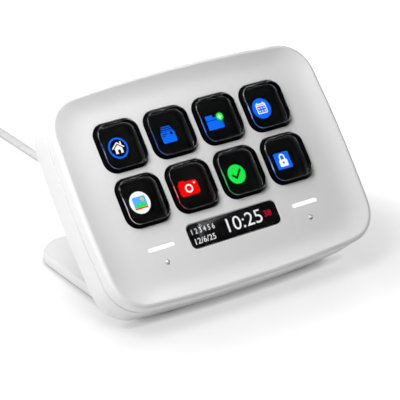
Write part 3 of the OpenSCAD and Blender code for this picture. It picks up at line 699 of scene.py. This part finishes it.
def clear_plastic(name, tint, roughness):
    made, root, shader = new_finish(name)
    place = root.node("ShaderNodeTexCoord", out="Object")
    drift = root.node("ShaderNodeTexNoise", None, {"Vector": place, "Scale": 120.0, "Detail": 2.0})
    shader["Base Color"].default_value = tint
    shader["Transmission Weight"].default_value = 1.0
    shader["IOR"].default_value = 1.49
    root.join(roughness * (0.5 + drift), shader["Roughness"])
    return made


carrier_black = black_plastic("carrier_black", 0.1, 0.0)
clear_acrylic = clear_plastic("clear_acrylic", (0.97, 0.975, 0.98, 1), 0.01)
for k, box in enumerate(key_boxes):
    cap = slot_hole(box, 0, KEY_CORNER, KEY_BOW, (4, 14, 4))
    base_z, top_z = box[0][2], box[1][2]
    skirt_top_z = top_z - KEY_EDGE
    bm = bmesh.new()
    core = stack(cap, (-SKIRT_T - SHOT_GAP, base_z), (-SKIRT_T - SHOT_GAP, flat_z),
                 (-KEY_LEAN - SKIRT_TOP_T, skirt_top_z - 0.1), (-KEY_LEAN - 0.1, skirt_top_z))
    core += rolled(lambda inset: cap(-KEY_LEAN - inset), KEY_EDGE, top_z, 1)
    core += stack(cap, (-KEY_LEAN - KEY_EDGE - MARGIN, top_z))
    solid(bm, core)
    clear_faces = len(bm.faces)
    closed_skin(bm, stack(cap, (-SKIRT_T, base_z), (0, base_z), (0, flat_z - 0.2),
                          (-0.07, flat_z + 0.1), (-KEY_LEAN, skirt_top_z - 0.02),
                          (-KEY_LEAN - 0.08, skirt_top_z),
                          (-KEY_LEAN - SKIRT_TOP_T + SHOT_GAP, skirt_top_z - 0.12),
                          (-SKIRT_T, flat_z)))
    bm.faces.ensure_lookup_table()
    for face in bm.faces[clear_faces:]:
        face.material_index = 1
    add_piece(f"cap_{k + 1}", bm, [clear_acrylic, carrier_black], f"key_{k + 1}",
              housed, (f"key_cap_{k + 1}",))
    bm = bmesh.new()
    carrier_box = node_box(f"key_carrier_{k + 1}", housed)
    ring = slot_hole(carrier_box, 0, KEY_CORNER + CATCH, steps=(4, 14, 4))
    pipe(bm, ring, carrier_box[0][2], carrier_box[1][2], -CARRIER_BORDER - CATCH)
    add_piece(f"carrier_{k + 1}", bm, carrier_black, f"key_{k + 1}", housed,
              (f"key_carrier_{k + 1}",))

# ---------- foot ----------
# A moulded foot, closed below by a lid and a rubber pad, stands behind the housing. A leaf rises
# from it and lies on the housing's back, and a rounded web fills the corner between the two.

FOOT_T = 3.7
FOOT_CORNER = 11.5
FOOT_BOW = 2000
FOOT_ROUND = 1.4
FOOT_EDGE = 0.4
FOOT_WALL = 2.2
POCKET_GAP = 0.1
LEAF_T = 3.0
LEAF_HALF = 32.0
LEAF_H = 22.0
LEAF_CORNER = 5.0
LEAF_EDGE = 0.6
HOLLOW = 6.0
WEB_SINK = 1
WEB_LAP = 0.5

level = Matrix.Identity(4)
foot_low, foot_high = node_box("foot_shell", level)
lid_low, lid_high = node_box("foot_lid", level)
weight_top = node_box("foot_weight", level)[1][2]
foot_half, foot_rear, foot_base = foot_high[0], foot_high[1], foot_low[2]
foot_top = foot_base + FOOT_T


def foot_ring(inset):
    return bowed_ring(foot_half - inset, foot_rear - inset, FOOT_BOW, FOOT_BOW,
                      FOOT_CORNER - inset)


def cut_off(bm, place, normal):
    """Cuts off what lies beyond a plane, on the side that its normal points to."""
    cut = bmesh.ops.bisect_plane(bm, geom=bm.verts[:] + bm.edges[:] + bm.faces[:], dist=1e-4,
                                 plane_co=place, plane_no=normal, clear_outer=True)
    bmesh.ops.edgeloop_fill(bm, edges=[item for item in cut["geom_cut"]
                                       if isinstance(item, bmesh.types.BMEdge)])


bm = bmesh.new()
rings = stack(foot_ring, (FOOT_EDGE + MARGIN, foot_base))
rings += rolled(foot_ring, FOOT_EDGE, foot_base, -1, 4)[::-1]
rings += rolled(foot_ring, FOOT_ROUND, foot_top, 1)
rings += stack(foot_ring, (FOOT_ROUND + 0.4, foot_top))
loops = skin(bm, rings)
bm.faces.new(loops[-1])
pocket = slot_hole((lid_low, lid_high), -POCKET_GAP, FOOT_CORNER - FOOT_WALL)
pocket_loops = skin(bm, stack(pocket, (0, foot_base), (0, weight_top + POCKET_GAP)))
bm.faces.new(pocket_loops[-1])
span(bm, [loops[0], pocket_loops[0]])
back_plane = housed @ Matrix.Translation((0, 0, back_z))
cut_off(bm, back_plane.translation, back_plane.to_3x3() @ Vector((0, 0, 1)))

leaf_box = (np.array((-LEAF_HALF, -half_h, 0)), np.array((LEAF_HALF, LEAF_H - half_h, 0)))
leaf = slot_hole(leaf_box, 0, LEAF_CORNER, steps=(3, 16, 3))
part = bmesh.new()
rings = stack(leaf, (0, back_z))
rings += rolled(lambda inset: leaf(-inset), LEAF_EDGE, back_z - LEAF_T, -1, 6)
rings += stack(leaf, (-LEAF_EDGE - MARGIN, back_z - LEAF_T))
solid(part, rings)
part.transform(housed)
cut_off(part, (0, 0, foot_base), (0, 0, -1))
up, out = (np.array((housed.to_3x3() @ Vector(way))[1:]) for way in ((0, 1, 0), (0, 0, -1)))
root_point = np.array((housed @ Vector((0, -half_h, back_z)))[1:])
face_point = root_point + LEAF_T * out
run = (foot_top + HOLLOW - (face_point + HOLLOW * out)[1]) / up[1]
middle = face_point + HOLLOW * out + run * up
turn_end = math.pi / 2 + math.atan2(up[1], up[0])
web_low = foot_top - WEB_SINK
profile = np.vstack(([(root_point[0] + WEB_SINK, web_low), (middle[0], web_low)],
                     arc(middle, HOLLOW, 1.5 * math.pi, turn_end, 16),
                     [face_point + run * up, root_point + run * up + WEB_LAP * out]))
half_web = LEAF_HALF - LEAF_CORNER
solid(part, [[(x, y, z) for y, z in profile] for x in (-half_web, half_web)])
bmesh.ops.recalc_face_normals(part, faces=part.faces)
scratch = bpy.data.meshes.new("scratch")
part.to_mesh(scratch)
part.free()
bm.from_mesh(scratch)
bpy.data.meshes.remove(scratch)
add_piece("foot_body", bm, white_plastic, stands_for=("foot_shell",))


def finish_nodes(finish, *nodes):
    """Gives pieces that keep their CAD shape the finish they have."""
    for node in nodes:
        frame["nodes"][node].data.materials.clear()
        frame["nodes"][node].data.materials.append(finish)


grip_rubber = moulded("grip_rubber", colour(70, 72, 75), 0.8, grain=0.8, grain_per_mm=2.5)
foot_steel = metal("foot_steel", colour(120, 122, 126), 0.45)
finish_nodes(grip_rubber, "grip_pad")
finish_nodes(foot_steel, "foot_weight")
finish_nodes(white_plastic, "foot_lid")

# ---------- strip window, light bars ----------
# A smoked window closes the display strip's opening, level with the face. Each light bar is a
# frosted guide that two lamps behind it fill with white light.

BAR_GAP = 0.05
FLANGE_GAP = 0.02

smoked_window = clear_plastic("smoked_window", (0.9, 0.9, 0.92, 1), 0.02)
add_piece("strip_glass", cad_copy("strip_window", 0.1, 2), smoked_window,
          stands_for=("strip_window",))


def lit_plastic(name, tint, strength):
    """Plastic or screen that gives off its own light, a little uneven across it."""
    made, root, shader = new_finish(name)
    place = root.node("ShaderNodeTexCoord", out="Object")
    drift = root.node("ShaderNodeTexNoise", None, {"Vector": place, "Scale": 300.0, "Detail": 1.0})
    shader["Base Color"].default_value = tuple(c * 0.2 for c in tint[:3]) + (1,)
    shader["Roughness"].default_value = 0.4
    shader["Specular IOR Level"].default_value = 0.1
    low = tuple(c * 0.96 for c in tint[:3]) + (1,)
    tone = root.node("ShaderNodeMix", {"data_type": "RGBA"}, {0: drift, 6: low, 7: tint}, out=2)
    root.join(tone, shader["Emission Color"])
    shader["Emission Strength"].default_value = strength
    return made


bar_light = lit_plastic("bar_light", (1, 1, 1, 1), 0.9)
for side, box in zip(("left", "right"), bar_boxes):
    pane = slot_hole(box, bar_inset + BAR_GAP, BAR_CORNER, steps=(1, 8, 3))
    flange = slot_hole(box, 0, BAR_CORNER + BAR_LIP, steps=(1, 8, 3))
    bm = bmesh.new()
    flange_z, top_z = face_back_z - FLANGE_GAP, box[1][2]
    solid(bm, stack(flange, (0, box[0][2]), (0, flange_z))
          + stack(pane, (0, flange_z), (0, top_z - 0.1), (-0.03, top_z - 0.03), (-0.1, top_z)))
    add_piece(f"bar_{side}", bm, bar_light, place=housed,
              stands_for=(f"light_bar_{side}",))

# ---------- screen ----------
# One panel lies behind all keys and the strip. It shows a plain sign under each key, and the
# time, a date in numbers and a row of day marks in the strip.

SIGN_T = 0.05
SIGN_LIFT = 0.01
LAYER_LIFT = 0.012
NUMERAL_LIFT = 0.04
SIGN_SHIFT = (0.5, 0.15)
STRIP_SHIFT = (2.2, 0.65)
SIGN_TINTS = {
    "white": colour(253, 253, 253), "blue": colour(12, 108, 255), "red": colour(255, 0, 0),
    "green": colour(30, 235, 80), "yellow": colour(250, 190, 10), "black": colour(6, 6, 8),
    "sky": colour(90, 180, 255), "dim red": colour(215, 30, 60)}
sign_tints = list(SIGN_TINTS)
sign_lights = [lit_plastic(f"screen_{name}", tint, 1.0) for name, tint in SIGN_TINTS.items()]

screen_black = black_plastic("screen_black", 0.4, 0.3)
finish_nodes(screen_black, "screen_panel")


def disc(x, y, diameter, tint, layer=0):
    return (arc((x, y), diameter / 2, 0, 2 * math.pi, 40), tint, layer)


def plate(x, y, width, height, corner, tint, layer=0):
    ring = slot_hole((np.array((-width, -height, 0)) / 2, np.array((width, height, 0)) / 2), 0,
                     corner, steps=(1, 6, 1))
    return ring(0) + (x, y), tint, layer


def stroke(points, width, tint, layer=0):
    """A line with round ends, as one plate for each of its parts."""
    made = []
    for start, end in zip(points, points[1:]):
        turn = math.atan2(end[1] - start[1], end[0] - start[0]) - math.pi / 2
        ends = [arc(place, width / 2, first, first + math.pi * 9 / 8, 9)
                for place, first in ((end, turn), (start, turn + math.pi))]
        made.append((np.vstack(ends), tint, layer))
    return made


def polygon(points, tint, layer=0):
    return np.array(points, float), tint, layer


HOUSE = [disc(0, 0, 7.6, "blue"), disc(0, 0, 6.3, "black", 1),
         polygon([(-1.5, -1.95), (1.5, -1.95), (1.5, -0.05), (0, 1.15), (-1.5, -0.05)], "white", 2),
         plate(1.4, 1.55, 0.5, 1.2, 0.1, "white", 2), plate(0, -1.3, 1.1, 1.5, 0.45, "black", 3)]
HOUSE += stroke([(-2.25, 0.1), (0, 1.95), (2.25, 0.1)], 0.4, "white", 2)
CARDS = [plate(0.25, 2.95, 3.8, 0.32, 0.12, "blue"), plate(0.25, 2.2, 4.5, 0.32, 0.12, "blue"),
         plate(0.25, 1.45, 5.0, 0.32, 0.12, "blue"), plate(0.25, -1.05, 5.9, 4.2, 0.6, "blue"),
         plate(-1.1, 0.3, 2.2, 0.35, 0.15, "black", 1),
         plate(-1.6, -0.45, 1.2, 0.35, 0.15, "black", 1), disc(1.75, 0.15, 1.1, "black", 1)]
FOLDER = [plate(-2.0, 1.7, 3.1, 1.6, 0.35, "blue"), plate(-0.3, 0.9, 6.4, 1.2, 0.3, "blue"),
          plate(-0.3, -1.25, 6.6, 3.3, 0.4, "blue"), plate(-1.3, 0.55, 4.8, 0.26, 0.1, "black", 1),
          disc(2.45, 1.25, 3.4, "black", 1),
          disc(2.45, 1.25, 3.0, "green", 2), plate(2.45, 1.25, 1.7, 0.42, 0.1, "white", 3),
          plate(2.45, 1.25, 0.42, 1.7, 0.1, "white", 3)]
CALENDAR = [disc(0, 0, 7.6, "blue"), plate(0, 0, 4.2, 3.8, 0.5, "white", 1),
            plate(0, -0.35, 3.4, 2.4, 0.3, "blue", 2), plate(0, 1.35, 3.4, 0.2, 0.05, "blue", 2),
            plate(-1.2, 1.95, 0.4, 0.8, 0.15, "white", 1),
            plate(1.2, 1.95, 0.4, 0.8, 0.15, "white", 1)]
CALENDAR += [plate(x, y, 0.5, 0.5, 0.1, "white", 3)
             for x in (-1.1, 0, 1.1) for y in (-0.95, 0.15)]
PICTURE = [disc(0, 0, 7.7, "white"), plate(0, 0, 5.0, 4.2, 0.6, "sky", 1),
           polygon([(-2.5, -2.0), (2.5, -2.0), (0.9, 0.6), (-0.2, -0.8), (-1.1, 0.1)], "green", 2),
           disc(1.2, 1.0, 1.2, "yellow", 2), plate(0, -1.9, 5.0, 0.5, 0.2, "red", 3)]
SNAPSHOT = [plate(0, 0, 7.6, 4.9, 1.1, "red"), plate(-1.9, 2.45, 2.3, 1.0, 0.3, "red"),
            disc(0, -0.05, 3.0, "white", 1), disc(0, -0.05, 1.9, "red", 2),
            disc(2.6, 1.45, 0.7, "white", 1)]
TICK = [disc(0, 0, 6.85, "green")]
TICK += stroke([(-1.7, -0.1), (-0.4, -1.3), (1.8, 1.3)], 0.7, "black", 1)
LOCK = [plate(0, 0, 6.05, 5.9, 0.5, "blue"), plate(0, 0.8, 2.3, 3.2, 1.1, "white", 1),
        plate(0, 0.8, 1.3, 2.2, 0.6, "blue", 2), plate(0, -0.9, 3.3, 2.5, 0.4, "white", 3),
        disc(0, -0.8, 0.8, "blue", 4)]
SIGNS = (HOUSE, CARDS, FOLDER, CALENDAR, PICTURE, SNAPSHOT, TICK, LOCK)
SIGN_SIZES = (0.96, 0.92, 0.95, 0.97, 1, 1, 1, 1)

bm = bmesh.new()


def draw(shapes, x, y, size):
    """Adds thin plates of light just above the screen."""
    for points, tint, layer in shapes:
        low = screen_z + SIGN_LIFT + LAYER_LIFT * layer
        points = points * size + (x, y)
        loops = solid(bm, [raised(points, low), raised(points, low + SIGN_T)])
        for face in {face for loop in loops for corner in loop for face in corner.link_faces}:
            face.material_index = sign_tints.index(tint)


for sign, size, (low, high) in zip(SIGNS, SIGN_SIZES, key_boxes):
    x, y = (low + high)[:2] / 2 + SIGN_SHIFT
    draw(sign, x, y, size)
strip_x, strip_y = (strip_box[0] + strip_box[1])[:2] / 2 + STRIP_SHIFT


def numerals(text, x, y, width, height, tint="white"):
    """Adds plain numbers, stretched to a width and a height, round a place in the strip."""
    words = bpy.data.curves.new("numerals", "FONT")
    words.body = text
    words.extrude = 1
    shape = bpy.data.meshes.new_from_object(bpy.data.objects.new("numerals", words))
    points = np.array([corner.co for corner in shape.vertices])
    low, high = points.min(axis=0), points.max(axis=0)
    middle = Vector((strip_x + x, strip_y + y, screen_z + NUMERAL_LIFT))
    shape.transform(Matrix.Translation(middle)
                    @ Matrix.Diagonal((width, height, SIGN_T, 1))
                    @ Matrix.Diagonal((*(1 / (high - low)), 1))
                    @ Matrix.Translation(-(low + high) / 2))
    first = len(bm.faces)
    bm.from_mesh(shape)
    bm.faces.ensure_lookup_table()
    for face in bm.faces[first:]:
        face.material_index = sign_tints.index(tint)


numerals("10:25", 4.1, 0, 13.6, 4.1)
numerals("1 2 3 4 5 6", -11.6, 1.25, 8.8, 1.6)
numerals("12/6/25", -11.9, -1.65, 7.8, 1.7)
numerals("38", 13.4, 0, 2.9, 1.9, "dim red")
bmesh.ops.remove_doubles(bm, verts=bm.verts, dist=1e-4)
add_piece("screen_picture", bm, sign_lights, place=housed)

# ---------- screws ----------
# Plated steel screws with crossed slots. Four pull the shells together from the back, four hold
# the main board and four hold the foot's leaf, those two sets from inside.

SHAFT_D = 2.0
SLOT_L = 2.3
SLOT_W = 0.6
SLOT_DEPTH = 0.7
HEAD_SIDES = 28
SHAFT_SIDES = 20
CROWN_SHARE = 0.35
SHELL_SCREW_L = 8
BOARD_SCREW_L = 3
BRACKET_SCREW_L = 5.6

screw_tree = bpy.data.node_groups.new("screws", "GeometryNodeTree")
screw_sockets = {}
for name, kind in (("Places", "Geometry"), ("Head Diameter", "Float"), ("Head Height", "Float"),
                   ("Shaft Diameter", "Float"), ("Shaft Length", "Float"), ("Slot Length", "Float"),
                   ("Slot Width", "Float"), ("Slot Depth", "Float"), ("Finish", "Material")):
    screw_sockets[name] = screw_tree.interface.new_socket(
        name, in_out="INPUT", socket_type=f"NodeSocket{kind}").identifier
screw_tree.interface.new_socket("Screws", in_out="OUTPUT", socket_type="NodeSocketGeometry")
root = Wire(screw_tree)
given = screw_tree.nodes.new("NodeGroupInput").outputs
given = {name: Wire(screw_tree, given[name]) for name in screw_sockets}


def moved(root, shape, z):
    place = root.node("ShaderNodeCombineXYZ", None, {"Z": z})
    return root.node("GeometryNodeTransform", None, {"Geometry": shape, "Translation": place})


def combined(root, operation, first, others):
    """A Mesh Boolean of one shape with others."""
    made = root.node("GeometryNodeMeshBoolean", {"operation": operation, "solver": "EXACT"})
    others = others if first is None else [first] + others
    for k, shape in enumerate(others):
        root.join(shape, made.socket.node.inputs[0 if k == 0 and first is not None else 1])
    return made


head_r, head_h = given["Head Diameter"] * 0.5, given["Head Height"]
crown = root.node("GeometryNodeMeshCone", None, {
    "Vertices": HEAD_SIDES, "Radius Bottom": head_r * 0.8, "Radius Top": head_r,
    "Depth": head_h * CROWN_SHARE})
collar = root.node("GeometryNodeMeshCylinder", None, {
    "Vertices": HEAD_SIDES, "Radius": head_r, "Depth": head_h * (1 - CROWN_SHARE)})
shaft = root.node("GeometryNodeMeshCylinder", None, {
    "Vertices": SHAFT_SIDES, "Radius": given["Shaft Diameter"] * 0.5,
    "Depth": given["Shaft Length"] + head_h * 0.5})
screw = combined(root, "UNION", None, [
    moved(root, crown, -1 * head_h), moved(root, collar, head_h * (CROWN_SHARE / 2 - 0.5)),
    moved(root, shaft, given["Shaft Length"] * 0.5 - head_h * 0.25)])
slots = []
for across, along in (("X", "Y"), ("Y", "X")):
    size = root.node("ShaderNodeCombineXYZ", None, {
        across: given["Slot Length"], along: given["Slot Width"], "Z": given["Slot Depth"] * 2})
    slots.append(moved(root, root.node("GeometryNodeMeshCube", None, {"Size": size}),
                       -1 * head_h))
screw = combined(root, "DIFFERENCE", screw, slots)
screw = root.node("GeometryNodeInstanceOnPoints", None,
                  {"Points": given["Places"], "Instance": screw})
screw = root.node("GeometryNodeRealizeInstances", None, {"Geometry": screw})
screw = root.node("GeometryNodeSetMaterial", None,
                  {"Geometry": screw, "Material": given["Finish"]})
root.join(screw, screw_tree.nodes.new("NodeGroupOutput").inputs[0])


def grown(tree, sockets, points, sizes):
    """What a geometry tree makes of some points, as one plain mesh."""
    source = bpy.data.objects.new("places", bpy.data.meshes.new("places"))
    source.data.from_pydata(points, [], [])
    bpy.context.scene.collection.objects.link(source)
    modifier = source.modifiers.new("tree", "NODES")
    modifier.node_group = tree
    for name, size in sizes.items():
        modifier[sockets[name]] = size
    shape = source.evaluated_get(bpy.context.evaluated_depsgraph_get())
    bm = bmesh.new()
    shape = bpy.data.meshes.new_from_object(shape)
    bm.from_mesh(shape)
    source.modifiers.remove(modifier)
    bpy.data.objects.remove(source)
    bpy.data.meshes.remove(shape)
    return bm


screw_steel = metal("screw_steel", colour(175, 176, 180), 0.3)
turned = housed @ Matrix.Rotation(math.pi, 4, "X")
for name, node, length, place in (("cover_screws", "shell_screws", SHELL_SCREW_L, housed),
                                  ("pcb_screws", "board_screws", BOARD_SCREW_L, turned),
                                  ("leaf_screws", "bracket_screws", BRACKET_SCREW_L, turned)):
    low, high = node_box(node, place)
    xs, ys = ((low[k] + HEAD_D / 2, high[k] - HEAD_D / 2) for k in (0, 1))
    if node == "bracket_screws":
        xs, ys = BRACKET_SCREW_XS, [(low[1] + high[1]) / 2]
    bm = grown(screw_tree, screw_sockets, [(x, y, high[2] - length) for x in xs for y in ys], {
        "Head Diameter": HEAD_D, "Head Height": float(high[2] - length - low[2]),
        "Shaft Diameter": SHAFT_D, "Shaft Length": float(length), "Slot Length": SLOT_L,
        "Slot Width": SLOT_W, "Slot Depth": SLOT_DEPTH, "Finish": screw_steel})
    add_piece(name, bm, screw_steel, place=place, stands_for=(node,))

# ---------- inner pieces ----------
# The parts that a closed pad hides keep their plain shapes, each with its real finish: a plastic
# guide, a silicone mat, a steel tray, foam strips, lacquered boards and copper touch pads.

dark_frame = black_plastic("dark_frame", 0.5)
mat_silicone = moulded("mat_silicone", colour(30, 30, 32), 0.6)
tray_steel = metal("tray_steel", colour(190, 192, 196), 0.35)
black_foam = moulded("black_foam", colour(34, 34, 36), 0.95, grain=1.0, grain_per_mm=1.2)
board_lacquer = moulded("board_lacquer", colour(18, 84, 46), 0.35)
chip_resin = moulded("chip_resin", colour(24, 24, 26), 0.55)
copper_tin = metal("copper_tin", colour(196, 130, 92), 0.4)
ribbon_film = moulded("ribbon_film", colour(196, 128, 40), 0.4)
socket_nylon = moulded("socket_nylon", colour(222, 214, 192), 0.5)
finish_nodes(dark_frame, "key_guide")
finish_nodes(mat_silicone, "dome_mat")
finish_nodes(tray_steel, "screen_tray")
finish_nodes(black_foam, "foam_strips")
finish_nodes(board_lacquer, "main_board", "light_board_left", "light_board_right")
finish_nodes(chip_resin, "board_chips")
finish_nodes(copper_tin, "touch_pad_left", "touch_pad_right")
finish_nodes(ribbon_film, "screen_ribbon")
finish_nodes(socket_nylon, "ribbon_socket")
